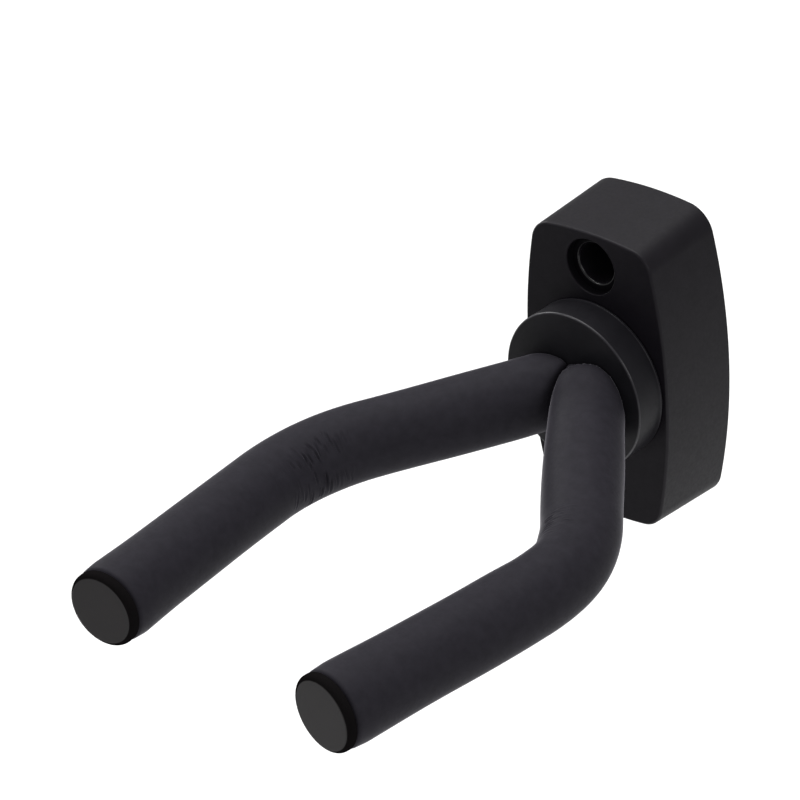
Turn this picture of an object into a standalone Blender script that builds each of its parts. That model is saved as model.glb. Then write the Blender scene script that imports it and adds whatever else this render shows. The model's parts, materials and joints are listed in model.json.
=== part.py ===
"""Wall guitar hanger: a moulded base block with a swivelling fork of foam-covered steel prongs.

Frame, in metres: X to the right, Y towards the wall, Z up. The origin is where the swivel axis,
which runs along Y, meets the wall. All of the hanger is in front of the wall, at negative Y.
"""

import math

import bmesh
import bpy
from mathutils import Vector

GAP = 0.0003  # between pieces that touch

# Base block. Its outline is four shallow arcs, joined by rounded corners.
BASE_DEPTH = 0.0230
BASE_HALF_HEIGHT = 0.0371
BASE_HALF_WIDTH = 0.0207
SIDE_ARC_R = 0.151
END_ARC_R = 0.091
CORNER_R = 0.0063
SIDE_DRAFT = 0.0004  # how much further out each side is at the wall than at the front
END_DRAFT = 0.0019  # the same for the top and the bottom
BASE_EDGE_R = 0.0006
BASE_WALL = 0.0026
FRONT_WALL = 0.0035

# Holes for the two wall screws: a shallow recess for a cover cap, a bore for the head, then the shank.
SCREW_Z = {"upper": 0.0285, "lower": -0.0285}
CAP_RECESS_R = 0.0070
CAP_RECESS_DEPTH = 0.0020
SCREW_HEAD_R = 0.0050
SCREW_SEAT_Y = -0.0080
SCREW_SHANK_R = 0.0026
SCREW_BOSS_R = 0.0072

# Swivel: a flanged bush in the base carries an M8 bolt, whose head is the plate of the fork.
BOLT_R = 0.0040
BOLT_END_Y = -0.0016
BOLT_END_CHAMFER = 0.0006
BOLT_HEAD_R = 0.0150
BOLT_HEAD_THICKNESS = 0.0045
BOLT_HEAD_CHAMFER = 0.0005
BUSH_R = 0.0063
BUSH_FLANGE_R = 0.0100
BUSH_FLANGE_THICKNESS = 0.0015
HUB_R = 0.0100
HUB_REAR_Y = -0.0140
RIB_THICKNESS = 0.0020
RIB_REAR_Y = -0.0040
RIB_INNER_Z = 0.0097

# Washers and lock nut behind the base's hub, in the pocket.
THRUST_WASHER_R = 0.0090
THRUST_WASHER_THICKNESS = 0.0010
WAVE_WASHER_R = 0.0080
WAVE_WASHER_THICKNESS = 0.00035
WAVE_HEIGHT = 0.00035
WAVE_COUNT = 3
FLAT_WASHER_R = 0.0085
FLAT_WASHER_THICKNESS = 0.0014
FLAT_WASHER_CHAMFER = 0.0002
NUT_ACROSS_FLATS = 0.0130
NUT_HEX_LENGTH = 0.0048
NUT_LENGTH = 0.0068
NUT_CROWN_R = 0.0058
NUT_CORNER_SLOPE = 0.6  # height of the corners' chamfer, as a share of how far they stand out
INSERT_R = 0.0050
INSERT_LENGTH = 0.0015

# Collar disc, which turns with the fork.
COLLAR_R = 0.0197
COLLAR_FRONT_Y = -0.0316
COLLAR_EDGE = 0.0004

# Right prong: the centre line's root on the collar's face, its bend's corner and its tip.
PRONG_ROOT = Vector((0.0046, -0.0316, -0.0004))
PRONG_BEND = Vector((0.0408, -0.0792, -0.0080))
PRONG_TIP = Vector((0.0326, -0.1499, -0.0073))
PRONG_BEND_R = 0.038
PRONG_INSIDE = 0.008  # how far the uncut bar reaches back past the collar's face
ROD_R = 0.0030
ROD_SHORT_OF_TIP = 0.0100
ROD_EDGE = 0.0005
SLEEVE_R = 0.00895
SLEEVE_EDGE = 0.0006

# End plug: a flange that covers the sleeve's end, and a barbed stem in its bore.
PLUG_FLANGE_R = 0.0087
PLUG_FLANGE_THICKNESS = 0.0016
PLUG_EDGE_R = 0.0009
PLUG_STEM_R = 0.0028
PLUG_BARB_R = 0.0030
PLUG_BARB_STEP = 0.0025
PLUG_BARB_TAPER = 0.6  # length of a barb's slope, as a share of the step
PLUG_BARBS = 3

SIDES = {"left": -1, "right": 1}

# How finely curves are divided.
BEND_STEPS = 8
EDGE_STEPS = 3
OUTLINE_STEPS = (5, 6, 4)  # half of a side, a corner, half of an end
COLLAR_SEGMENTS = 56
SWIVEL_SEGMENTS = 36
HOLE_SEGMENTS = 32
SLEEVE_SEGMENTS = 32
SMALL_SEGMENTS = 24
ROD_SEGMENTS = 20

# How far a cutter reaches past what it cuts.
PAST = 0.002

# Worked out from the sizes above.
BASE_FRONT_Y = -BASE_DEPTH
SWIVEL_REAR_Y = BASE_FRONT_Y - GAP  # rear of the collar and of the bolt's head
BOLT_HEAD_FRONT_Y = SWIVEL_REAR_Y - BOLT_HEAD_THICKNESS
COLLAR_POCKET_Y = BOLT_HEAD_FRONT_Y - GAP
SLEEVE_ROOT_Y = COLLAR_FRONT_Y - GAP
BORE_R = BOLT_R + GAP

# Colour, metallic and roughness.
MATERIALS = {
    "base_plastic": ((0.016, 0.016, 0.017), 0.0, 0.55),
    "collar_plastic": ((0.014, 0.014, 0.015), 0.0, 0.42),
    "foam": ((0.022, 0.021, 0.024), 0.0, 0.85),
    "plug_plastic": ((0.010, 0.010, 0.011), 0.0, 0.30),
    "acetal": ((0.62, 0.61, 0.57), 0.0, 0.40),
    "black_steel": ((0.030, 0.030, 0.032), 0.9, 0.45),
    "zinc_steel": ((0.58, 0.58, 0.56), 1.0, 0.32),
    "spring_steel": ((0.35, 0.34, 0.33), 1.0, 0.35),
    "nylon_blue": ((0.05, 0.12, 0.35), 0.0, 0.45),
}


def clear_scene():
    """Remove whatever the file already holds."""
    for thing in list(bpy.data.objects):
        bpy.data.objects.remove(thing, do_unlink=True)


def material(name):
    """The named Principled material, made on first use."""
    found = bpy.data.materials.get(name)
    if found:
        return found
    colour, metallic, roughness = MATERIALS[name]
    made = bpy.data.materials.new(name)
    made.use_nodes = True
    shader = made.node_tree.nodes["Principled BSDF"]
    shader.inputs["Base Color"].default_value = (*colour, 1.0)
    shader.inputs["Metallic"].default_value = metallic
    shader.inputs["Roughness"].default_value = roughness
    made.diffuse_color = (*colour, 1.0)
    return made


def add_object(name, bm, material_name=None):
    """Turn a bmesh into a smooth-shaded object; without a material it is a cutter, not a piece."""
    bmesh.ops.recalc_face_normals(bm, faces=bm.faces)
    mesh = bpy.data.meshes.new(name)
    bm.to_mesh(mesh)
    bm.free()
    mesh.shade_smooth()
    mesh.set_sharp_from_angle(angle=math.radians(35))
    made = bpy.data.objects.new(name, mesh)
    bpy.context.scene.collection.objects.link(made)
    if material_name:
        mesh.materials.append(material(material_name))
    else:
        made.hide_render = True
        made.display_type = "WIRE"
    return made


def combine(target, other, operation):
    """Put a Boolean with another object on the target."""
    modifier = target.modifiers.new(other.name, "BOOLEAN")
    modifier.operation = operation
    modifier.object = other
    modifier.solver = "EXACT"


def bridge(bm, near, far):
    """Faces between two loops of the same length, either of which may be a single point."""
    count = max(len(near), len(far))
    for i in range(count):
        j = (i + 1) % count
        corners = [near[i % len(near)], near[j % len(near)], far[j % len(far)], far[i % len(far)]]
        distinct = list(dict.fromkeys(corners))
        bm.faces.new(distinct)


def loft(loops):
    """A closed solid through loops of points, with both ends capped."""
    bm = bmesh.new()
    rings = [[bm.verts.new(point) for point in loop] for loop in loops]
    for near, far in zip(rings, rings[1:]):
        bridge(bm, near, far)
    bm.faces.new(rings[0])
    bm.faces.new(rings[-1])
    return bm


def turned(profile, segments, bored=False):
    """Turn (radius, y) points about Y. A bored piece's profile closes on itself, off the axis."""
    bm = bmesh.new()
    rings = []
    for radius, y in profile:
        steps = segments if radius > 0 else 1
        angles = [2 * math.pi * step / segments for step in range(steps)]
        rings.append([bm.verts.new((radius * math.cos(a), y, radius * math.sin(a))) for a in angles])
    pairs = list(zip(rings, rings[1:]))
    if bored:
        pairs.append((rings[-1], rings[0]))
    for near, far in pairs:
        bridge(bm, near, far)
    return bm


def ring_profile(inner, outer, front_y, rear_y, chamfer=0.0):
    """Profile of a plain ring, with its outer edges chamfered if asked."""
    if not chamfer:
        return [(inner, front_y), (outer, front_y), (outer, rear_y), (inner, rear_y)]
    return [
        (inner, front_y),
        (outer - chamfer, front_y),
        (outer, front_y + chamfer),
        (outer, rear_y - chamfer),
        (outer - chamfer, rear_y),
        (inner, rear_y),
    ]


def arc(centre, radius, start, end, steps):
    """Points of an arc in a plane, both ends included."""
    angles = [start + (end - start) * step / steps for step in range(steps + 1)]
    return [centre + radius * Vector((math.cos(a), math.sin(a))) for a in angles]


def circle_crossing(centre_a, radius_a, centre_b, radius_b):
    """Where two circles cross, to the left of the way from a to b."""
    between = centre_b - centre_a
    along = (radius_a**2 - radius_b**2 + between.length_squared) / (2 * between.length)
    across = math.sqrt(radius_a**2 - along**2)
    way = between.normalized()
    return centre_a + way * along + Vector((-way.y, way.x)) * across


def bearing(start, end):
    """Angle of the way from one point to another."""
    return math.atan2(end.y - start.y, end.x - start.x)


def base_outline(y, inset=0.0):
    """The base block's outline at a depth, drawn in by the inset."""
    grown = (y - BASE_FRONT_Y) / BASE_DEPTH
    side_grown = SIDE_DRAFT * grown - inset
    end_grown = END_DRAFT * grown - inset
    side_r = SIDE_ARC_R + side_grown
    end_r = END_ARC_R + end_grown
    corner_r = CORNER_R + (side_grown + end_grown) / 2
    side = Vector((BASE_HALF_WIDTH - SIDE_ARC_R, 0.0))
    end = Vector((0.0, BASE_HALF_HEIGHT - END_ARC_R))
    corner = circle_crossing(side, side_r - corner_r, end, end_r - corner_r)
    from_side, from_end = bearing(side, corner), bearing(end, corner)
    side_steps, corner_steps, end_steps = OUTLINE_STEPS
    quarter = arc(side, side_r, 0.0, from_side, side_steps)
    quarter += arc(corner, corner_r, from_side, from_end, corner_steps)[1:]
    quarter += arc(end, end_r, from_end, math.pi / 2, end_steps)[1:]
    half = quarter + [Vector((-point.x, point.y)) for point in reversed(quarter[:-1])]
    whole = half + [Vector((point.x, -point.y)) for point in reversed(half[1:-1])]
    return [Vector((point.x, y, point.y)) for point in whole]


def box(x_range, y_range, z_range):
    """A plain box between limits."""
    left, right = x_range
    bottom, top = z_range
    corners = [(left, bottom), (right, bottom), (right, top), (left, top)]
    return loft([[(x, y, z) for x, z in corners] for y in y_range])


def plain_pin(radius, front_y, rear_y, segments):
    """A plain round bar along Y."""
    return turned([(0, front_y), (radius, front_y), (radius, rear_y), (0, rear_y)], segments)


def base_pocket():
    """The hollow of the base, open at the wall, around the bosses, the hub and the ribs."""
    floor_y = BASE_FRONT_Y + FRONT_WALL
    past_floor = floor_y - PAST
    loops = [base_outline(y, BASE_WALL) for y in (floor_y, PAST)]
    pocket = add_object("pocket_cutter", loft(loops))
    for place, z in SCREW_Z.items():
        boss = add_object(f"{place}_boss_guide", plain_pin(SCREW_BOSS_R, past_floor, 2 * PAST, HOLE_SEGMENTS))
        boss.location.z = z
        combine(pocket, boss, "DIFFERENCE")
    hub = add_object("hub_guide", plain_pin(HUB_R, past_floor, HUB_REAR_Y, SWIVEL_SEGMENTS))
    combine(pocket, hub, "DIFFERENCE")
    half = RIB_THICKNESS / 2
    past_side = 1.5 * BASE_HALF_WIDTH
    ribs = {
        "top_rib_guide": ((-half, half), (RIB_INNER_Z, SCREW_Z["upper"])),
        "bottom_rib_guide": ((-half, half), (SCREW_Z["lower"], -RIB_INNER_Z)),
        "left_rib_guide": ((-past_side, -RIB_INNER_Z), (-half, half)),
        "right_rib_guide": ((RIB_INNER_Z, past_side), (-half, half)),
    }
    rib_front = past_floor - PAST / 2
    for name, (x_range, z_range) in ribs.items():
        rib = add_object(name, box(x_range, (rib_front, RIB_REAR_Y), z_range))
        combine(pocket, rib, "DIFFERENCE")
    return pocket


def base_block():
    """Moulded base: a hollow block with two screw bosses and the swivel's hub."""
    loops = []
    for step in range(EDGE_STEPS + 1):
        turn = math.pi / 2 * step / EDGE_STEPS
        y = BASE_FRONT_Y + BASE_EDGE_R * (1 - math.cos(turn))
        loops.append(base_outline(y, BASE_EDGE_R * (1 - math.sin(turn))))
    loops.append(base_outline(0.0))
    block = add_object("base_block", loft(loops), "base_plastic")
    combine(block, base_pocket(), "DIFFERENCE")
    before = BASE_FRONT_Y - PAST
    ledge_y = BASE_FRONT_Y + CAP_RECESS_DEPTH
    hole = [
        (0, before),
        (CAP_RECESS_R, before),
        (CAP_RECESS_R, ledge_y),
        (SCREW_HEAD_R, ledge_y),
        (SCREW_HEAD_R, SCREW_SEAT_Y),
        (SCREW_SHANK_R, SCREW_SEAT_Y),
        (SCREW_SHANK_R, PAST),
        (0, PAST),
    ]
    for place, z in SCREW_Z.items():
        cutter = add_object(f"{place}_screw_cutter", turned(hole, HOLE_SEGMENTS))
        cutter.location.z = z
        combine(block, cutter, "DIFFERENCE")
    flange_y = BASE_FRONT_Y + BUSH_FLANGE_THICKNESS + GAP
    bore = [
        (0, before),
        (BUSH_FLANGE_R + GAP, before),
        (BUSH_FLANGE_R + GAP, flange_y),
        (BUSH_R + GAP, flange_y),
        (BUSH_R + GAP, PAST),
        (0, PAST),
    ]
    combine(block, add_object("bush_cutter", turned(bore, SWIVEL_SEGMENTS)), "DIFFERENCE")


def swivel_bush():
    """Flanged bush that the bolt turns in."""
    flange_rear = BASE_FRONT_Y + BUSH_FLANGE_THICKNESS
    rear = HUB_REAR_Y - GAP
    profile = [
        (BORE_R, BASE_FRONT_Y),
        (BUSH_FLANGE_R, BASE_FRONT_Y),
        (BUSH_FLANGE_R, flange_rear),
        (BUSH_R, flange_rear),
        (BUSH_R, rear),
        (BORE_R, rear),
    ]
    add_object("swivel_bush", turned(profile, SWIVEL_SEGMENTS, bored=True), "acetal")


def swivel_bolt():
    """M8 bolt whose round head is the plate that the prongs are welded to."""
    profile = [
        (0, BOLT_HEAD_FRONT_Y),
        (BOLT_HEAD_R - BOLT_HEAD_CHAMFER, BOLT_HEAD_FRONT_Y),
        (BOLT_HEAD_R, BOLT_HEAD_FRONT_Y + BOLT_HEAD_CHAMFER),
        (BOLT_HEAD_R, SWIVEL_REAR_Y - BOLT_HEAD_CHAMFER),
        (BOLT_HEAD_R - BOLT_HEAD_CHAMFER, SWIVEL_REAR_Y),
        (BOLT_R, SWIVEL_REAR_Y),
        (BOLT_R, BOLT_END_Y - BOLT_END_CHAMFER),
        (BOLT_R - BOLT_END_CHAMFER, BOLT_END_Y),
        (0, BOLT_END_Y),
    ]
    add_object("swivel_bolt", turned(profile, SWIVEL_SEGMENTS), "zinc_steel")


def wave_washer(front_y):
    """Spring washer: a thin ring with waves round it, that keeps the swivel from rattling."""
    bm = bmesh.new()
    rings = []
    for step in range(SWIVEL_SEGMENTS):
        angle = 2 * math.pi * step / SWIVEL_SEGMENTS
        front = front_y + WAVE_HEIGHT * (1 + math.sin(WAVE_COUNT * angle))
        rear = front + WAVE_WASHER_THICKNESS
        section = [(BORE_R, front), (WAVE_WASHER_R, front), (WAVE_WASHER_R, rear), (BORE_R, rear)]
        rings.append([bm.verts.new((r * math.cos(angle), y, r * math.sin(angle))) for r, y in section])
    for near, far in zip(rings, rings[1:] + rings[:1]):
        bridge(bm, near, far)
    add_object("wave_washer", bm, "spring_steel")
    return front_y + 2 * WAVE_HEIGHT + WAVE_WASHER_THICKNESS


def lock_nut(front_y):
    """Hexagon lock nut, with a round crown that holds a nylon ring."""
    rear_y = front_y + NUT_LENGTH
    hex_rear = front_y + NUT_HEX_LENGTH
    flat = NUT_ACROSS_FLATS / 2
    corner = NUT_ACROSS_FLATS / math.sqrt(3)
    angles = [math.pi / 3 * i for i in range(6)]
    hexagon = [(corner * math.cos(a), corner * math.sin(a)) for a in angles]
    bar = loft([[(x, y, z) for x, z in hexagon] for y in (front_y, rear_y)])
    nut = add_object("lock_nut", bar, "zinc_steel")
    slope = (corner - flat) * NUT_CORNER_SLOPE
    outside = [
        (0, front_y - PAST),
        (flat, front_y - PAST),
        (flat, front_y),
        (corner, front_y + slope),
        (corner, hex_rear - slope),
        (flat, hex_rear),
        (NUT_CROWN_R, hex_rear),
        (NUT_CROWN_R, rear_y - slope),
        (NUT_CROWN_R - slope, rear_y),
        (NUT_CROWN_R - slope, rear_y + PAST),
        (0, rear_y + PAST),
    ]
    combine(nut, add_object("nut_shape_guide", turned(outside, SWIVEL_SEGMENTS)), "INTERSECT")
    insert_front = rear_y - INSERT_LENGTH - GAP
    bore = [
        (0, front_y - 2 * PAST),
        (BORE_R, front_y - 2 * PAST),
        (BORE_R, insert_front - GAP),
        (INSERT_R + GAP, insert_front - GAP),
        (INSERT_R + GAP, rear_y + 2 * PAST),
        (0, rear_y + 2 * PAST),
    ]
    combine(nut, add_object("nut_bore_cutter", turned(bore, SMALL_SEGMENTS)), "DIFFERENCE")
    insert = ring_profile(BORE_R, INSERT_R, insert_front, insert_front + INSERT_LENGTH)
    add_object("nut_insert", turned(insert, SMALL_SEGMENTS, bored=True), "nylon_blue")


def swivel_stack():
    """Washers and lock nut, from the hub's rear face towards the wall."""
    front = HUB_REAR_Y + GAP
    rear = front + THRUST_WASHER_THICKNESS
    thrust = ring_profile(BORE_R, THRUST_WASHER_R, front, rear)
    add_object("thrust_washer", turned(thrust, SWIVEL_SEGMENTS, bored=True), "acetal")
    front = wave_washer(rear + GAP) + GAP
    rear = front + FLAT_WASHER_THICKNESS
    flat = ring_profile(BORE_R, FLAT_WASHER_R, front, rear, FLAT_WASHER_CHAMFER)
    add_object("flat_washer", turned(flat, SWIVEL_SEGMENTS, bored=True), "zinc_steel")
    lock_nut(rear + GAP)


def prong_line(side, before_root=0.0, beyond_tip=0.0):
    """Centre line of a prong: straight from the root, round the bend, then straight to the tip."""
    root, corner, tip = (Vector((side * p.x, p.y, p.z)) for p in (PRONG_ROOT, PRONG_BEND, PRONG_TIP))
    way_in = (corner - root).normalized()
    way_out = (tip - corner).normalized()
    turn = way_in.angle(way_out)
    inward = (way_out - way_in * math.cos(turn)).normalized()
    start = corner - way_in * PRONG_BEND_R * math.tan(turn / 2)
    points = [root - way_in * before_root]
    for step in range(BEND_STEPS + 1):
        angle = turn * step / BEND_STEPS
        points.append(start + PRONG_BEND_R * (way_in * math.sin(angle) + inward * (1 - math.cos(angle))))
    points.append(tip + way_out * beyond_tip)
    return points


def tube_loops(line, radius, segments, end_chamfer=0.0):
    """Rings of a round bar along a line, with the far end's edge chamfered if asked."""
    neighbours = zip([line[0]] + line[:-1], line[1:] + [line[-1]])
    ways = [(after - before).normalized() for before, after in neighbours]
    stations = [(point, way, radius) for point, way in zip(line, ways)]
    if end_chamfer:
        point, way, _ = stations.pop()
        stations.append((point - way * end_chamfer, way, radius))
        stations.append((point, way, radius - end_chamfer))
    angles = [2 * math.pi * i / segments for i in range(segments)]
    loops = []
    for point, way, size in stations:
        across = way.cross(Vector((0, 0, 1))).normalized()
        up = across.cross(way)
        loops.append([point + size * (across * math.cos(a) + up * math.sin(a)) for a in angles])
    return loops


def root_cutter(name, side, face_y):
    """Takes off what lies behind a plane, and what crosses the middle between the prongs."""
    middle = side * GAP / 2
    wide = side * 2 * COLLAR_R
    front = 2 * COLLAR_FRONT_Y
    rear = BASE_FRONT_Y / 2
    outline = [(middle, front), (middle, face_y), (wide, face_y), (wide, rear), (-wide, rear), (-wide, front)]
    return add_object(name, loft([[(x, y, z) for x, y in outline] for z in (-COLLAR_R, COLLAR_R)]))


def prong(name, side):
    """One prong: steel rod, foam sleeve and end plug. Returns the cutter for the rod's way in."""
    rod_line = prong_line(side, PRONG_INSIDE, -ROD_SHORT_OF_TIP)
    rod = add_object(f"{name}_rod", loft(tube_loops(rod_line, ROD_R, ROD_SEGMENTS, ROD_EDGE)), "black_steel")
    combine(rod, root_cutter(f"{name}_rod_end_cutter", side, COLLAR_POCKET_Y), "DIFFERENCE")
    sleeve_line = prong_line(side, PRONG_INSIDE)
    sleeve_bar = loft(tube_loops(sleeve_line, SLEEVE_R, SLEEVE_SEGMENTS, SLEEVE_EDGE))
    sleeve = add_object(f"{name}_sleeve", sleeve_bar, "foam")
    clearance_line = prong_line(side, PRONG_INSIDE, PAST)
    clearance_bar = loft(tube_loops(clearance_line, ROD_R + GAP, ROD_SEGMENTS))
    clearance = add_object(f"{name}_rod_clearance", clearance_bar)
    combine(sleeve, clearance, "DIFFERENCE")
    combine(sleeve, root_cutter(f"{name}_sleeve_end_cutter", side, SLEEVE_ROOT_Y), "DIFFERENCE")
    end_plug(name, side)
    return clearance


def end_plug(name, side):
    """Round-edged cap on the sleeve's end, turned about Y and then set on the prong's axis."""
    back = -GAP
    face = back - PLUG_FLANGE_THICKNESS
    edge_centre = Vector((PLUG_FLANGE_R - PLUG_EDGE_R, face + PLUG_EDGE_R))
    edge = arc(edge_centre, PLUG_EDGE_R, -math.pi / 2, 0.0, EDGE_STEPS)
    profile = [(0, face)] + [(point.x, point.y) for point in edge]
    profile += [(PLUG_FLANGE_R, back), (PLUG_STEM_R, back)]
    barb_rise = PLUG_BARB_R - PLUG_STEM_R
    for barb in range(PLUG_BARBS):
        start = PLUG_BARB_STEP * (barb + 0.5)
        profile.append((PLUG_STEM_R, start))
        profile.append((PLUG_BARB_R, start + barb_rise / 2))
        profile.append((PLUG_STEM_R, start + PLUG_BARB_STEP * PLUG_BARB_TAPER))
    profile.append((0, profile[-1][1] + barb_rise))
    plug = add_object(f"{name}_end_plug", turned(profile, SLEEVE_SEGMENTS), "plug_plastic")
    line = prong_line(side)
    outward = (line[-1] - line[-2]).normalized()
    plug.rotation_mode = "QUATERNION"
    plug.rotation_quaternion = Vector((0, -1, 0)).rotation_difference(outward)
    plug.location = line[-1]


def collar_disc(clearances):
    """Collar moulded round the bolt's head and the roots of the prongs."""
    pocket_r = BOLT_HEAD_R + GAP
    profile = [
        (0, COLLAR_FRONT_Y),
        (COLLAR_R - COLLAR_EDGE, COLLAR_FRONT_Y),
        (COLLAR_R, COLLAR_FRONT_Y + COLLAR_EDGE),
        (COLLAR_R, SWIVEL_REAR_Y - COLLAR_EDGE),
        (COLLAR_R - COLLAR_EDGE, SWIVEL_REAR_Y),
        (pocket_r, SWIVEL_REAR_Y),
        (pocket_r, COLLAR_POCKET_Y),
        (0, COLLAR_POCKET_Y),
    ]
    collar = add_object("collar_disc", turned(profile, COLLAR_SEGMENTS), "collar_plastic")
    for clearance in clearances:
        combine(collar, clearance, "DIFFERENCE")


def hang_on_swivel(fixed):
    """Parent what turns to an empty on the swivel axis, at the base's front face."""
    swivel = bpy.data.objects.new("yoke_swivel", None)
    bpy.context.scene.collection.objects.link(swivel)
    swivel.location = (0, BASE_FRONT_Y, 0)
    bpy.context.view_layer.update()
    for piece in list(bpy.context.scene.objects):
        if piece.type == "MESH" and not piece.hide_render and piece.name not in fixed:
            piece.parent = swivel
            piece.matrix_parent_inverse = swivel.matrix_world.inverted()


def main():
    clear_scene()
    base_block()
    swivel_bush()
    swivel_bolt()
    swivel_stack()
    collar_disc([prong(name, side) for name, side in SIDES.items()])
    hang_on_swivel(fixed=("base_block", "swivel_bush", "thrust_washer"))


main()
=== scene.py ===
"""Looks of the wall guitar hanger.

Fine mouldings, creased foam sleeves, a real thread and procedural materials, in the CAD model's
frame: metres, with X to the right, Y towards the wall and Z up, and the origin where the swivel
axis meets the wall.
"""

import json
import math
import random
import bmesh
import bpy
import numpy as np
from mathutils import Matrix, Vector


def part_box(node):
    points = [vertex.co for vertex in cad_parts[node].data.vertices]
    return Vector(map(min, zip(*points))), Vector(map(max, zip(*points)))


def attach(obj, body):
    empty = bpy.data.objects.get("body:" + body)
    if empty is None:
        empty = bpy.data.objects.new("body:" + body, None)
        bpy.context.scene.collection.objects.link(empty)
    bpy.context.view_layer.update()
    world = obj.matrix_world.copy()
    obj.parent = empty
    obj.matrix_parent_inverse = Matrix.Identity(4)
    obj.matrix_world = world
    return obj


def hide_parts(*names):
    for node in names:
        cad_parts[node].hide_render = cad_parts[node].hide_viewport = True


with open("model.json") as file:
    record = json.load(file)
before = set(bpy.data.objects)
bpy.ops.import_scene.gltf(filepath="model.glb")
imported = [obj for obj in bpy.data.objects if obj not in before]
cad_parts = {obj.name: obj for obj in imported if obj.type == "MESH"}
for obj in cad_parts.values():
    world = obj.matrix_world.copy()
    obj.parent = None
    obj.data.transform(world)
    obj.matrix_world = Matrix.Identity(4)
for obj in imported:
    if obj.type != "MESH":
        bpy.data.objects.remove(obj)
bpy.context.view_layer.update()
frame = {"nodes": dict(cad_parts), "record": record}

FULL_TURN = 2 * math.pi
QUARTER_TURN = math.pi / 2
GAP = 0.0003  # what the CAD pieces keep between them
OVERSHOOT = 0.002  # how far a cutter reaches past the face that it opens

# Base block: the same outline as in the CAD model, in finer steps and with softened edges.
BASE_HALF_HEIGHT = 0.0371
BASE_HALF_WIDTH = 0.0207
SIDE_ARC_R = 0.151
END_ARC_R = 0.091
CORNER_R = 0.0063
SIDE_STEPS, CORNER_STEPS, END_STEPS = 18, 18, 12
SIDE_DRAFT = 0.0004
END_DRAFT = 0.0019
BASE_EDGE_R = 0.0006
BASE_RIM_R = 0.0004
BASE_WALL = 0.0026
FRONT_WALL = 0.0035
POCKET_LIP = 0.0003  # the chamfer where the hollow opens at the wall

SCREW_Z = {"upper": 0.0285, "lower": -0.0285}
CAP_RECESS_R = 0.0070
CAP_RECESS_DEPTH = 0.0020
CAP_RECESS_DRAFT = 0.0001
CAP_RECESS_EDGE_R = 0.00015
LEDGE_EDGE_R = 0.0006
SCREW_HEAD_R = 0.0050
SCREW_SEAT_Y = -0.0080
SCREW_SHANK_R = 0.0026
SCREW_BOSS_R = 0.0072
SCREW_BOSS_DRAFT = 0.0003
SCREW_BOSS_STEP = 0.0004

BUSH_R = 0.0063
BUSH_FLANGE_R = 0.0100
BUSH_FLANGE_THICKNESS = 0.0015
HUB_R = 0.0100
HUB_DRAFT = 0.0002
HUB_EDGE_R = 0.0004
HUB_REAR_Y = -0.0140
RIB_THICKNESS = 0.0020
RIB_REAR_Y = -0.0040
RIB_INNER = 0.0097
RIB_REACH = 0.030  # past the base's sides

# Collar disc, with a bead along its rear rim.
COLLAR_EDGE_R = 0.00055
COLLAR_GROOVE = 0.00013
BEAD_WIDTH = 0.0005
GROOVE_WIDTH = 0.0008
BEAD_FRONT_R = 0.0001
BEAD_REAR_R = 0.0002

# Right prong: the centre line's root on the collar's face, its bend's corner and its tip.
PRONG_ROOT = Vector((0.0046, -0.0316, -0.0004))
PRONG_BEND = Vector((0.0408, -0.0792, -0.0080))
PRONG_TIP = Vector((0.0326, -0.1499, -0.0073))
PRONG_BEND_R = 0.038
ROD_R = 0.0030
BORE_R = ROD_R + GAP
ROD_HOLE = (-0.008, 0.006)  # from where to where on the centre line the collar makes room for it

# End plug. Its flange and the foam's end are set back from where the CAD model has them.
PLUG_FLANGE_R = 0.0089
PLUG_FLANGE_THICKNESS = 0.0016
PLUG_SET_BACK = 0.0006
PLUG_EDGE_R = 0.0013
PLUG_REAR_EDGE_R = 0.0002
PLUG_STEM_R = 0.0028
PLUG_STEM_TAPER = 0.0002
PLUG_BARB_R = 0.0030
PLUG_BARB_STEP = 0.0025
PLUG_BARB_FRONT = 0.0001
PLUG_BARBS = 3

BOLT_R = 0.0040
BOLT_AROUND = 72
BOLT_EDGE = 0.0005
BOLT_TIP = 0.0006
BOLT_TIP_RINGS = ((0.0003, 0.0007), (0.0, 0.0011))  # how far before the end, and how much thinner
BOLT_CENTRE_R = 0.0002  # the small face in the middle of each of its ends
SHANK_STEP = 0.001  # the plain shank's last ring stands this far in front of the thread
THREAD_PITCH = 0.00125
THREAD_STEPS = 10  # rings in one pitch
THREAD_DEPTH = 0.0006
THREAD_START_Y = -0.0145
THREAD_FLANK = 1.25  # above 1, it leaves the crests flat

# Foam sleeve. Near the collar its rings slant, to lie on the collar's plane; they stand square
# to the tube from SQUARE_FROM onward.
SLEEVE_R = 0.00895
SLEEVE_AROUND = 176
SLEEVE_ROOT_EDGE_R = 0.0013
SLEEVE_TIP_EDGE_R = 0.0010
SQUARE_FROM = 0.0180
SLANTED_RINGS = 30
CREASED_MARGIN = 0.010  # how far the fine rings reach past each end of the bend
STRAIGHT_PITCH = 0.0007
CREASED_PITCH = 0.00015
TIP_PITCH = 0.0008
ROOT_FADE = 0.0010  # over what length the relief fades in at the root
TIP_FADE = 0.004
SEAM_X = -0.0007  # where the two sleeves press against each other
SEAM_SOFTNESS = 0.0014
FLARE = 0.00030  # how much the plug spreads the foam at the tip
FLARE_LENGTH = 0.014
WAVES = 7
WAVE_HEIGHT = 0.00002
CREASES = 36

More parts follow.
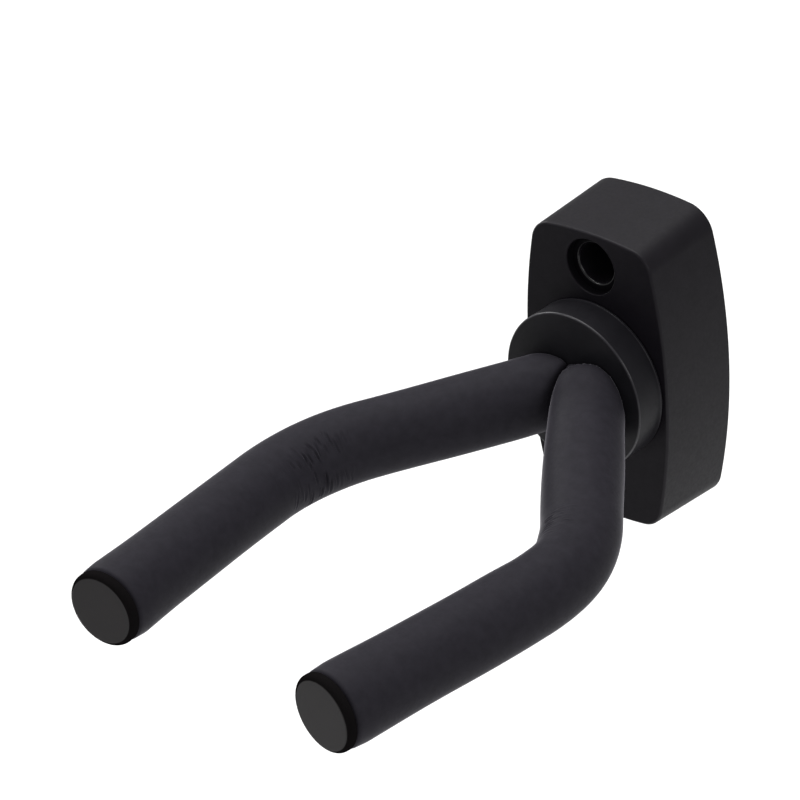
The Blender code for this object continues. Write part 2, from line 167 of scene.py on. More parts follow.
# Folds of each sleeve's foam. Offsets and lengths are metres along the tube from the bend's
# middle, and turns are radians round it, from the inside of the bend towards its top. A swell is
# an (offset, length, turn, height) of broad swelling, or of pinching where the height is negative.
FOLDS = {
    "left": {
        "seed": 11,
        "depth": 0.00040,
        "offset": 0.0028,
        "length": 0.0230,
        "turns": (0.62, -0.15, 0.50, 0.66, -0.50),
        "swells": (
            (-0.036, 0.014, -0.8, 0.00035),
            (-0.002, 0.014, 1.6, 0.00022),
            (0.000, 0.014, -0.6, 0.00020),
            (0.004, 0.014, math.pi, -0.00014),
            (-0.050, 0.009, -1.5, 0.00030),
            (0.070, 0.012, -1.3, 0.00035),
        ),
    },
    "right": {
        "seed": 23,
        "depth": 0.00011,
        "offset": -0.0055,
        "length": 0.0120,
        "turns": (1.00, 0.75, 1.15),
        "swells": (
            (-0.030, 0.016, -0.2, 0.00058),
            (-0.0570, 0.0060, 1.60, 0.00210),
            (-0.0500, 0.0100, 3.0, -0.00040),
            (0.0010, 0.0055, -0.1, -0.00080),
            (0.010, 0.008, math.pi, -0.00042),
            (0.019, 0.008, 0.0, 0.00022),
            (0.070, 0.012, -1.3, 0.00020),
        ),
    },
}

SIDES = {"left": -1, "right": 1}

# Studio. A light is a name, a place, what it points at, its diameter and its power in watts.
FLOOR_HALF = 4.0
FLOOR_Z = -0.45
LIGHTS = (
    ("overhead", (-0.55, 0.45, 2.2), (-0.55, 0.45, 0.0), 2.6, 64.0),
    ("left", (-1.55, 0.30, 0.72), (0.0, -0.07, 0.0), 0.9, 9.0),
    ("right", (1.30, -0.35, 0.70), (0.0, -0.07, 0.0), 0.8, 4.5),
    ("front", (-1.10, -1.00, 1.15), (0.0, -0.02, 0.02), 0.25, 2.6),
)
WORLD_STRENGTH = 0.35
CAMERA_PLACE = (0.4542, -0.5510, 0.4050)
CAMERA_AZIMUTH, CAMERA_ELEVATION, CAMERA_ROLL = 44.45, 30.35, -4.95
CAMERA_LENS_MM = 157.1
CAMERA_SENSOR_MM = 36.0
CAMERA_CLIP = 0.01

collar_low, collar_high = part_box("collar_disc")
bolt_low, bolt_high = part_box("swivel_bolt")
BASE_FRONT_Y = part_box("base_block")[0].y
SLEEVE_ROOT_Y = collar_low.y - GAP
LEDGE_Y = BASE_FRONT_Y + CAP_RECESS_DEPTH


# ---------------------------------------------------------------- mesh tools


def quarter_turns(steps):
    """Angles from nothing to a quarter turn, both included."""
    return [QUARTER_TURN * step / steps for step in range(steps + 1)]


def round_turns(count):
    """Angles all the way round."""
    return [FULL_TURN * step / count for step in range(count)]


def add_object(name, mesh):
    """A new object at the origin that shows a mesh."""
    made = bpy.data.objects.new(name, mesh)
    bpy.context.scene.collection.objects.link(made)
    return made


def add_mesh(name, vertices, faces):
    """A new object from points and faces."""
    mesh = bpy.data.meshes.new(name)
    mesh.from_pydata([tuple(v) for v in vertices], [], [tuple(f) for f in faces])
    return add_object(name, mesh)


def add_bmesh(name, bm):
    """A new object from a bmesh, with its faces turned outward."""
    bmesh.ops.recalc_face_normals(bm, faces=bm.faces)
    mesh = bpy.data.meshes.new(name)
    bm.to_mesh(mesh)
    bm.free()
    return add_object(name, mesh)


def add_closed(name, vertices, faces):
    """A new object from points and faces, with its faces turned outward."""
    made = add_mesh(name, vertices, faces)
    bm = bmesh.new()
    bm.from_mesh(made.data)
    bmesh.ops.recalc_face_normals(bm, faces=bm.faces)
    bm.to_mesh(made.data)
    bm.free()
    return made


def tube_faces(rings, around, closed=False):
    """Faces over rings of points; a closed tube's last ring joins its first."""
    faces = []
    for i in range(rings if closed else rings - 1):
        k = (i + 1) % rings
        for j in range(around):
            m = (j + 1) % around
            faces.append((i * around + j, i * around + m, k * around + m, k * around + j))
    return faces


def bridge(bm, near, far):
    """Faces between two loops of the same length, either of which may be a single point."""
    count = max(len(near), len(far))
    for i in range(count):
        j = (i + 1) % count
        corners = [near[i % len(near)], near[j % len(near)], far[j % len(far)], far[i % len(far)]]
        bm.faces.new(list(dict.fromkeys(corners)))


def loft(loops):
    """A closed solid through loops of points, with both ends capped."""
    bm = bmesh.new()
    rings = [[bm.verts.new(point) for point in loop] for loop in loops]
    for near, far in zip(rings, rings[1:]):
        bridge(bm, near, far)
    bm.faces.new(rings[0])
    bm.faces.new(rings[-1])
    return bm


def turned(profile, segments):
    """Turn (radius, y) points about Y."""
    bm = bmesh.new()
    rings = []
    for radius, y in profile:
        angles = round_turns(segments) if radius > 0 else [0.0]
        ring = [(radius * math.cos(a), y, radius * math.sin(a)) for a in angles]
        rings.append([bm.verts.new(point) for point in ring])
    for near, far in zip(rings, rings[1:]):
        bridge(bm, near, far)
    return bm


def box(x_range, y_range, z_range):
    """A plain box between limits, used as a cutter."""
    (x0, x1), (z0, z1) = x_range, z_range
    corners = [(x0, z0), (x1, z0), (x1, z1), (x0, z1)]
    return loft([[(x, y, z) for x, z in corners] for y in y_range])


def cut(target, cutter):
    """Take a cutter's shape out of an object, and remove the cutter."""
    modifier = target.modifiers.new("cut", "BOOLEAN")
    modifier.operation = "DIFFERENCE"
    modifier.object = cutter
    modifier.solver = "EXACT"
    graph = bpy.context.evaluated_depsgraph_get()
    mesh = bpy.data.meshes.new_from_object(target.evaluated_get(graph))
    target.modifiers.clear()
    target.data = mesh
    mesh.name = target.name
    bpy.data.objects.remove(cutter, do_unlink=True)


def smooth(target, sharp_angle):
    """Smooth shading, except across edges sharper than an angle in degrees."""
    target.data.shade_smooth()
    target.data.set_sharp_from_angle(angle=math.radians(sharp_angle))


def smooth_mostly_flat(target, sharp_angle):
    """Smooth shading that keeps broad flats flat beside their rounded edges."""
    smooth(target, sharp_angle)
    weighted = target.modifiers.new("weighted", "WEIGHTED_NORMAL")
    weighted.mode = "FACE_AREA"
    weighted.weight = 100
    weighted.keep_sharp = True


def arc(centre, radius, start, end, steps):
    """Points of an arc in a plane, both ends included."""
    angles = [start + (end - start) * step / steps for step in range(steps + 1)]
    return [centre + radius * Vector((math.cos(a), math.sin(a))) for a in angles]


def rounded(corner, before, after, radius, steps=5):
    """Points that round a profile's corner, tangent to the ways to its neighbours."""
    corner, before, after = Vector(corner), Vector(before), Vector(after)
    way_in = (before - corner).normalized()
    way_out = (after - corner).normalized()
    half = way_in.angle(way_out) / 2
    centre = corner + (way_in + way_out).normalized() * radius / math.sin(half)
    first = corner + way_in * radius / math.tan(half) - centre
    last = corner + way_out * radius / math.tan(half) - centre
    sweep = first.angle_signed(last)
    turns = [-sweep * step / steps for step in range(steps + 1)]
    return [centre + Matrix.Rotation(turn, 2) @ first for turn in turns]


def soft_profile(points, radii):
    """(radius, y) points with some corners rounded; radii maps a point's index to a radius."""
    out = []
    for i, point in enumerate(points):
        if i in radii:
            out += rounded(point, points[i - 1], points[i + 1], radii[i])
        else:
            out.append(point)
    return out


# ---------------------------------------------------------------- material tools


def new_material(name, colour, roughness, metallic=0.0, specular=0.5):
    """A Principled material; returns it with its tree and its shader."""
    made = bpy.data.materials.new(name)
    made.use_nodes = True
    tree = made.node_tree
    shader = tree.nodes["Principled BSDF"]
    shader.inputs["Base Color"].default_value = (*colour, 1.0)
    shader.inputs["Roughness"].default_value = roughness
    shader.inputs["Metallic"].default_value = metallic
    shader.inputs["Specular IOR Level"].default_value = specular
    return made, tree, shader


def drive(tree, shader, **values):
    """Link values to the shader's inputs."""
    names = {"colour": "Base Color", "roughness": "Roughness", "specular": "Specular IOR Level"}
    for key, value in values.items():
        tree.links.new(value, shader.inputs[names[key]])


def driver(shader, name):
    """What is linked to an input of the shader."""
    return shader.inputs[name].links[0].from_socket


def object_space(tree, output):
    """The place ("Object") or the direction ("Normal") of the surface, in the object's space."""
    return tree.nodes.new("ShaderNodeTexCoord").outputs[output]


def split(tree, vector):
    """The X, Y and Z parts of a vector."""
    node = tree.nodes.new("ShaderNodeSeparateXYZ")
    tree.links.new(vector, node.inputs["Vector"])
    return node.outputs["X"], node.outputs["Y"], node.outputs["Z"]


def noise(tree, scale, detail=3.0, roughness=0.5, stretch=(1.0, 1.0, 1.0)):
    """Noise in the object's own space; scale is in cells per metre."""
    mapping = tree.nodes.new("ShaderNodeMapping")
    mapping.inputs["Scale"].default_value = stretch
    texture = tree.nodes.new("ShaderNodeTexNoise")
    texture.inputs["Scale"].default_value = scale
    texture.inputs["Detail"].default_value = detail
    texture.inputs["Roughness"].default_value = roughness
    tree.links.new(object_space(tree, "Object"), mapping.inputs["Vector"])
    tree.links.new(mapping.outputs["Vector"], texture.inputs["Vector"])
    return texture.outputs["Fac"]


def cells(tree, scale):
    """Voronoi cells in the object's own space; scale is in cells per metre."""
    texture = tree.nodes.new("ShaderNodeTexVoronoi")
    texture.inputs["Scale"].default_value = scale
    tree.links.new(object_space(tree, "Object"), texture.inputs["Vector"])
    return texture.outputs["Distance"]


def remap(tree, value, low, high, from_low=0.3, from_high=0.7):
    """Stretch a value onto a range. Left alone, the first range is what noise mostly covers."""
    node = tree.nodes.new("ShaderNodeMapRange")
    node.inputs["From Min"].default_value = from_low
    node.inputs["From Max"].default_value = from_high
    node.inputs["To Min"].default_value = low
    node.inputs["To Max"].default_value = high
    tree.links.new(value, node.inputs["Value"])
    return node.outputs["Result"]


def rise(tree, value, start, end):
    """A mask that goes from 0 to 1 while a value goes from start to end."""
    return remap(tree, value, 0.0, 1.0, start, end)


def fall(tree, value, start, end):
    """A mask that goes from 1 to 0 while a value goes from start to end."""
    return remap(tree, value, 1.0, 0.0, start, end)


def blend(tree, mask, plain, masked):
    """A number that goes from one value, where a mask is 0, to another, where it is 1."""
    return remap(tree, mask, plain, masked, 0.0, 1.0)


def arithmetic(tree, operation, first, second=None):
    """A sum, product or other operation on one value, or on two with the second maybe a number."""
    node = tree.nodes.new("ShaderNodeMath")
    node.operation = operation
    tree.links.new(first, node.inputs[0])
    if isinstance(second, float):
        node.inputs[1].default_value = second
    elif second is not None:
        tree.links.new(second, node.inputs[1])
    return node.outputs["Value"]


def times(tree, first, second):
    """The product of two values."""
    return arithmetic(tree, "MULTIPLY", first, second)


def mix_colours(tree, factor, first, second):
    """Two colours mixed by a texture."""
    node = tree.nodes.new("ShaderNodeMix")
    node.data_type = "RGBA"
    node.inputs["A"].default_value = (*first, 1.0)
    node.inputs["B"].default_value = (*second, 1.0)
    tree.links.new(factor, node.inputs["Factor"])
    return node.outputs["Result"]


def mottled(tree, colour, darkest, lightest, texture):
    """A colour that a texture varies between two shares of it."""
    darker = [c * darkest for c in colour]
    lighter = [c * lightest for c in colour]
    return mix_colours(tree, remap(tree, texture, 0.0, 1.0), darker, lighter)


def scale_colour(tree, colour, factor):
    """A colour made lighter or darker by a texture."""
    node = tree.nodes.new("ShaderNodeVectorMath")
    node.operation = "SCALE"
    tree.links.new(colour, node.inputs["Vector"])
    tree.links.new(factor, node.inputs["Scale"])
    return node.outputs["Vector"]


def bump(tree, shader, height, strength, distance):
    """A texture as fine relief; distance is in metres."""
    node = tree.nodes.new("ShaderNodeBump")
    node.inputs["Strength"].default_value = strength
    node.inputs["Distance"].default_value = distance
    tree.links.new(height, node.inputs["Height"])
    tree.links.new(node.outputs["Normal"], shader.inputs["Normal"])


def along_y(tree):
    """How much the surface faces along Y: -1 to the front, 1 to the wall, in the object's space."""
    return split(tree, object_space(tree, "Normal"))[1]


# ---------------------------------------------------------------- materials


def moulded_plastic(name, colour, roughness, specular, grain, grain_depth, rubbed, edge_specular):
    """Black plastic with a spark-eroded grain, faint mottling, uneven gloss, and edges glossier and
    painted lighter as a highlight.
    """
    made, tree, shader = new_material(name, colour, roughness, specular=specular)
    # Faces look along Y and sides across it, so what slants between them is an edge.
    slope = arithmetic(tree, "ABSOLUTE", along_y(tree))
    edge = times(tree, rise(tree, slope, 0.15, 0.40), fall(tree, slope, 0.85, 0.97))
    highlight_and_gloss_edge = times(tree, edge, remap(tree, noise(tree, 450.0), 0.75, 1.0))
    plain = mottled(tree, colour, 0.90, 1.10, noise(tree, 260.0, 4.0))
    gloss = remap(tree, noise(tree, 1100.0), roughness - 0.04, roughness + 0.05)
    # Painted highlight: along the edges the colour is made lighter, standing in for thin highlights
    # on the rims; the edges are also made glossier.
    drive(
        tree,
        shader,
        colour=scale_colour(tree, plain, blend(tree, highlight_and_gloss_edge, 1.0, rubbed)),
        roughness=times(tree, gloss, blend(tree, highlight_and_gloss_edge, 1.0, 0.62)),
        specular=blend(tree, highlight_and_gloss_edge, specular, edge_specular),
    )
    bump(tree, shader, noise(tree, grain, 2.0, 0.6), 0.6, grain_depth)
    return made


def base_plastic(name, **look):
    """The base's plastic: duller on its face, with painted shade in the screw recesses, polished on
    a ledge.
    """
    made = moulded_plastic(name, **look)
    tree = made.node_tree
    shader = tree.nodes["Principled BSDF"]
    x, depth, z = split(tree, object_space(tree, "Object"))
    across = arithmetic(tree, "ABSOLUTE", x)
    height = arithmetic(tree, "ABSOLUTE", z)
    above = arithmetic(tree, "ABSOLUTE", arithmetic(tree, "SUBTRACT", height, SCREW_Z["upper"]))
    squares = [arithmetic(tree, "POWER", part, 2.0) for part in (across, above)]
    away = arithmetic(tree, "SQRT", arithmetic(tree, "ADD", *squares))  # from a screw's axis

    inside = fall(tree, away, CAP_RECESS_R, CAP_RECESS_R + 0.0002)
    below_mouth = rise(tree, depth, BASE_FRONT_Y + 0.0002, BASE_FRONT_Y + 0.0005)
    in_recess = times(tree, inside, below_mouth)
    near_bore = fall(tree, away, SCREW_HEAD_R + 0.0003, SCREW_HEAD_R + 0.0005)
    at_ledge = fall(tree, depth, LEDGE_Y + 0.0004, LEDGE_Y + 0.0006)
    polished = times(tree, times(tree, times(tree, near_bore, at_ledge), in_recess), 0.55)
    off_bore = rise(tree, away, SCREW_HEAD_R + 0.00005, SCREW_HEAD_R + 0.0002)
    # Painted shade: inside each screw recess, off the bore, the colour is darkened.
    shaded = times(tree, in_recess, off_bore)
    face = rise(tree, arithmetic(tree, "ABSOLUTE", along_y(tree)), 0.97, 0.99)

    dulled = times(tree, driver(shader, "Specular IOR Level"), blend(tree, face, 1.0, 0.45))
    dulled = times(tree, dulled, blend(tree, shaded, 1.0, 0.4))
    gloss = driver(shader, "Roughness")
    drive(
        tree,
        shader,
        colour=scale_colour(tree, driver(shader, "Base Color"), blend(tree, shaded, 1.0, 0.45)),
        roughness=times(tree, gloss, blend(tree, polished, 1.0, 0.55)),
        specular=arithmetic(tree, "MAXIMUM", dulled, polished),
    )
    return made


def plug_plastic(name, colour, face_colour):
    """Black plastic with a satin flat face; round its rolled edge it is dull, with its colour
    painted darker as shade.
    """
    made, tree, shader = new_material(name, face_colour, 0.60)
    face = fall(tree, along_y(tree), -0.985, -0.955)
    speckle = remap(tree, noise(tree, 2200.0), 0.90, 1.10)
    # Painted shade: the rolled edge takes the darker colour, standing in for the dark that the edge
    # reflects; the face takes the lighter colour.
    drive(
        tree,
        shader,
        colour=scale_colour(tree, mix_colours(tree, face, colour, face_colour), speckle),
        roughness=blend(tree, face, 0.45, 0.60),
        specular=blend(tree, face, 0.0, 0.27),
    )
    bump(tree, shader, noise(tree, 3600.0, 2.0, 0.6), 0.5, 0.00001)
    return made


def foam(name, colour):
    """Closed-cell foam with a soft skin: pores, mottling and a pale sheen at grazing angles."""
    made, tree, shader = new_material(name, colour, 0.55, specular=0.045)
    drive(
        tree,
        shader,
        colour=mottled(tree, colour, 0.88, 1.12, noise(tree, 420.0, 5.0, 0.6)),
        roughness=remap(tree, noise(tree, 1500.0), 0.50, 0.60),
    )
    shader.inputs["Sheen Weight"].default_value = 0.26
    shader.inputs["Sheen Roughness"].default_value = 0.22
    shader.inputs["Sheen Tint"].default_value = (0.90, 0.87, 0.97, 1.0)
    bump(tree, shader, cells(tree, 4200.0), 0.22, 0.00003)
    return made


def plated_steel(name, colour, roughness):
    """Zinc-plated steel: turning marks, cloudy plating and uneven gloss."""
    made, tree, shader = new_material(name, colour, roughness, metallic=1.0)
    drive(
        tree,
        shader,
        colour=mottled(tree, colour, 0.72, 1.12, noise(tree, 350.0, 4.0)),
        roughness=remap(tree, noise(tree, 900.0), roughness - 0.08, roughness + 0.14),
    )
    bump(tree, shader, noise(tree, 2400.0, 2.0, stretch=(1.0, 0.1, 1.0)), 0.25, 0.00002)
    return made


def smooth_polymer(name, colour, roughness):
    """Acetal or nylon: slightly cloudy, with faint flow marks."""
    made, tree, shader = new_material(name, colour, roughness)
    drive(
        tree,
        shader,
        colour=mottled(tree, colour, 0.82, 1.0, noise(tree, 220.0)),
        roughness=remap(tree, noise(tree, 500.0, 2.0), roughness - 0.06, roughness + 0.08),
    )
    bump(tree, shader, noise(tree, 1500.0, 2.0), 0.2, 0.00002)
    return made


MATERIALS = {
    "base_plastic": base_plastic(
        "base_plastic",
        colour=(0.0084, 0.0073, 0.0098),
        roughness=0.50,
        specular=0.13,
        grain=3300.0,
        grain_depth=0.00003,
        # Edges painted lighter, as a highlight.
        rubbed=1.2,
        edge_specular=0.15,
    ),
    "collar_plastic": moulded_plastic(
        "collar_plastic",
        colour=(0.0106, 0.0101, 0.0124),
        roughness=0.44,
        specular=0.11,
        grain=4200.0,
        grain_depth=0.000012,
        # Edges painted lighter, as a highlight.
        rubbed=2.0,
        edge_specular=0.42,
    ),
    "plug_plastic": plug_plastic(
        "plug_plastic", colour=(0.0064, 0.0057, 0.0060), face_colour=(0.0094, 0.0074, 0.0083)
    ),
    "foam": foam("foam", (0.0212, 0.0198, 0.0250)),
    "zinc_steel": plated_steel("zinc_steel", (0.58, 0.58, 0.56), 0.30),
    "spring_steel": plated_steel("spring_steel", (0.34, 0.33, 0.32), 0.34),
    "black_steel": plated_steel("black_steel", (0.05, 0.05, 0.052), 0.42),
    "acetal": smooth_polymer("acetal", (0.60, 0.59, 0.55), 0.38),
    "nylon_blue": smooth_polymer("nylon_blue", (0.05, 0.12, 0.35), 0.42),
}


def dress(piece, body, slot, *nodes):
    """Give a new piece the material named by slot, put it under its body, and hide the CAD nodes
    that it stands for.
    """
    piece.data.materials.clear()
    piece.data.materials.append(MATERIALS[slot])
    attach(piece, body)
    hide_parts(*nodes)


# ---------------------------------------------------------------- base block


def circle_crossing(centre_a, radius_a, centre_b, radius_b):
    """Where two circles cross, to the left of the way from a to b."""
    between = centre_b - centre_a
    along = (radius_a**2 - radius_b**2 + between.length_squared) / (2 * between.length)
    across = math.sqrt(radius_a**2 - along**2)
    way = between.normalized()
    return centre_a + way * along + Vector((-way.y, way.x)) * across


def bearing(start, end):
    """Angle of the way from one point to another."""
    return math.atan2(end.y - start.y, end.x - start.x)


def base_outline(y, inset):
    """The base block's outline at a depth, drawn in by the inset."""
    grown = (min(y, 0.0) - BASE_FRONT_Y) / -BASE_FRONT_Y
    side_grown = SIDE_DRAFT * grown - inset
    end_grown = END_DRAFT * grown - inset
    side_r = SIDE_ARC_R + side_grown
    end_r = END_ARC_R + end_grown
    corner_r = CORNER_R + (side_grown + end_grown) / 2
    side = Vector((BASE_HALF_WIDTH - SIDE_ARC_R, 0.0))
    end = Vector((0.0, BASE_HALF_HEIGHT - END_ARC_R))
    corner = circle_crossing(side, side_r - corner_r, end, end_r - corner_r)
    from_side, from_end = bearing(side, corner), bearing(end, corner)
    quarter = arc(side, side_r, 0.0, from_side, SIDE_STEPS)
    quarter += arc(corner, corner_r, from_side, from_end, CORNER_STEPS)[1:]
    quarter += arc(end, end_r, from_end, QUARTER_TURN, END_STEPS)[1:]
    half = quarter + [Vector((-point.x, point.y)) for point in reversed(quarter[:-1])]
    whole = half + [Vector((point.x, -point.y)) for point in reversed(half[1:-1])]
    return [Vector((point.x, y, point.y)) for point in whole]


def pocket_cutter():
    """The hollow of the base, open at the wall, around the bosses, the hub and the ribs."""
    floor_y = BASE_FRONT_Y + FRONT_WALL
    before = floor_y - OVERSHOOT
    sections = [(floor_y, 0.0), (-POCKET_LIP, 0.0), (0.0, POCKET_LIP), (OVERSHOOT, 2 * POCKET_LIP)]
    loops = [base_outline(y, BASE_WALL - widened) for y, widened in sections]
    pocket = add_bmesh("pocket", loft(loops))
    boss = [
        (0, before),
        (SCREW_BOSS_R + SCREW_BOSS_DRAFT, before),
        (SCREW_BOSS_R, 0.0),
        (SCREW_BOSS_R - SCREW_BOSS_STEP, 0.0),
        (SCREW_BOSS_R - SCREW_BOSS_STEP, 2 * OVERSHOOT),
        (0, 2 * OVERSHOOT),
    ]
    for z in SCREW_Z.values():
        guide = add_bmesh("boss", turned(boss, 64))
        guide.location.z = z
        cut(pocket, guide)
    hub = [(0, before), (HUB_R + HUB_DRAFT, before), (HUB_R, HUB_REAR_Y), (0, HUB_REAR_Y)]
    cut(pocket, add_bmesh("hub", turned(soft_profile(hub, {2: HUB_EDGE_R}), 80)))
    middle = (-RIB_THICKNESS / 2, RIB_THICKNESS / 2)
    ribs = [
        (middle, (RIB_INNER, SCREW_Z["upper"])),
        (middle, (SCREW_Z["lower"], -RIB_INNER)),
        ((-RIB_REACH, -RIB_INNER), middle),
        ((RIB_INNER, RIB_REACH), middle),
    ]
    for x_range, z_range in ribs:
        cut(pocket, add_bmesh("rib", box(x_range, (before - OVERSHOOT / 2, RIB_REAR_Y), z_range)))
    return pocket


def screw_hole_profile():
    """Half a screw hole's section: mouth, ledge for a cap, bore for the head and shank hole."""
    before = BASE_FRONT_Y - OVERSHOOT
    profile = [(0, before), (CAP_RECESS_R + CAP_RECESS_EDGE_R, before)]
    for turn in quarter_turns(4):
        radius = CAP_RECESS_R + CAP_RECESS_EDGE_R * (1 - math.sin(turn))
        profile.append((radius, BASE_FRONT_Y + CAP_RECESS_EDGE_R * (1 - math.cos(turn))))
    ledge = (CAP_RECESS_R - CAP_RECESS_DRAFT, LEDGE_Y)
    seat = (SCREW_HEAD_R, SCREW_SEAT_Y)
    profile += [ledge, *rounded((SCREW_HEAD_R, LEDGE_Y), ledge, seat, LEDGE_EDGE_R, 4), seat]
    profile += [(SCREW_SHANK_R, SCREW_SEAT_Y), (SCREW_SHANK_R, OVERSHOOT), (0, OVERSHOOT)]
    return profile


def base_moulding():
    """The visible base block, with softened edges round its face, its rim and its holes."""
    loops = []
    for turn in quarter_turns(6):
        y = BASE_FRONT_Y + BASE_EDGE_R * (1 - math.cos(turn))
        loops.append(base_outline(y, BASE_EDGE_R * (1 - math.sin(turn))))
    for turn in quarter_turns(3):
        y = -BASE_RIM_R + BASE_RIM_R * math.sin(turn)
        loops.append(base_outline(y, BASE_RIM_R * (1 - math.cos(turn))))
    block = add_bmesh("base_moulding", loft(loops))
    cut(block, pocket_cutter())
    for z in SCREW_Z.values():
        cutter = add_bmesh("screw_hole", turned(screw_hole_profile(), 96))
        cutter.location.z = z
        cut(block, cutter)
    before = BASE_FRONT_Y - OVERSHOOT
    flange_y = BASE_FRONT_Y + BUSH_FLANGE_THICKNESS + GAP
    bore = [
        (0, before),
        (BUSH_FLANGE_R + GAP, before),
        (BUSH_FLANGE_R + GAP, flange_y),
        (BUSH_R + GAP, flange_y),
        (BUSH_R + GAP, OVERSHOOT),
        (0, OVERSHOOT),
    ]
    cut(block, add_bmesh("bush_bore", turned(bore, 96)))
    smooth_mostly_flat(block, 32.0)
    dress(block, "base", "base_plastic", "base_block")


# ---------------------------------------------------------------- prongs


def prong_route(side):
    """The centre line's straight, bend and straight, with the bend plane's normal pointing up."""
    ends = (PRONG_ROOT, PRONG_BEND, PRONG_TIP)
    root, corner, tip = (Vector((side * p.x, p.y, p.z)) for p in ends)
    way_in = (corner - root).normalized()
    way_out = (tip - corner).normalized()
    turn = way_in.angle(way_out)
    tangent = PRONG_BEND_R * math.tan(turn / 2)
    inward = (way_out - way_in * math.cos(turn)).normalized()
    normal = way_in.cross(inward)
    if normal.z < 0:
        normal = -normal
    bend_start = (corner - root).length - tangent
    bend_length = PRONG_BEND_R * turn
    tip_length = (tip - corner).length - tangent - PLUG_SET_BACK
    return {
        "root": root,
        "way_in": way_in,
        "way_out": way_out,
        "tip": tip,
        "inward": inward,
        "normal": normal,
        "turn": turn,
        "bend_start": bend_start,
        "bend_length": bend_length,
        "bend_middle": bend_start + bend_length / 2,
        "bend_end": bend_start + bend_length,
        "total": bend_start + bend_length + tip_length,
    }


def stations(route, along):
    """Points and inward directions at distances along the centre line, as arrays."""
    root, way_in, inward = (np.array(route[key]) for key in ("root", "way_in", "inward"))
    angle = np.clip((along - route["bend_start"]) / PRONG_BEND_R, 0.0, route["turn"])[..., None]
    before = np.minimum(along, route["bend_start"])[..., None]
    after = np.maximum(along - route["bend_start"] - route["bend_length"], 0.0)[..., None]
    way = way_in * np.cos(angle) + inward * np.sin(angle)
    inner = inward * np.cos(angle) - way_in * np.sin(angle)
    bent = PRONG_BEND_R * (way_in * np.sin(angle) + inward * (1 - np.cos(angle)))
    return root + way_in * before + bent + way * after, inner


def foam_relief(route, along, theta, folds):
    """How far the foam's skin stands off its plain radius."""
    middle = route["bend_middle"]
    draw = random.Random(folds["seed"])
    relief = FLARE * np.exp(-(((route["total"] - along) / FLARE_LENGTH) ** 2))
    for offset, length, turn, height in folds["swells"]:
        lobe = np.clip(np.cos(theta - turn), 0.0, 1.0) ** 2
        relief += height * np.exp(-(((along - middle - offset) / length) ** 2)) * lobe
    # Slow unevenness of the wall along the whole sleeve.
    for _ in range(WAVES):
        lobes = draw.choice((1, 2, 3))
        length = draw.uniform(0.018, 0.055)
        phase = draw.uniform(0, FULL_TURN)
        twist = draw.uniform(0, FULL_TURN)
        wave = np.sin(FULL_TURN * along / length + phase)
        relief += WAVE_HEIGHT * wave * np.cos(lobes * theta + twist)
    # Creases: short grooves round the tube, each with a soft lip on both sides.
    for index in range(CREASES):
        spread = (index + draw.uniform(-0.35, 0.35)) / (CREASES - 1) - 0.5
        centre = middle + folds["offset"] + spread * folds["length"]
        turn = folds["turns"][index % len(folds["turns"])] + draw.uniform(-0.16, 0.16)
        reach = draw.uniform(0.13, 0.26)
        slant = draw.uniform(-0.0008, 0.0008)
        width = draw.uniform(0.00026, 0.00040)
        fade = math.exp(-((spread / 0.42) ** 2))
        drop = folds["depth"] * draw.uniform(0.45, 1.0) * fade
        away = (theta - turn + math.pi) % FULL_TURN - math.pi
        window = np.exp(-((away / reach) ** 4))
        wander = 0.00015 * np.sin(5.0 * away + index)
        offset = (along - centre - slant * away - wander) / width
        lips = 0.65 * np.exp(-(((np.abs(offset) - 1.9) / 0.8) ** 2))
        relief -= drop * (np.exp(-(offset**2)) - lips) * window
    return relief


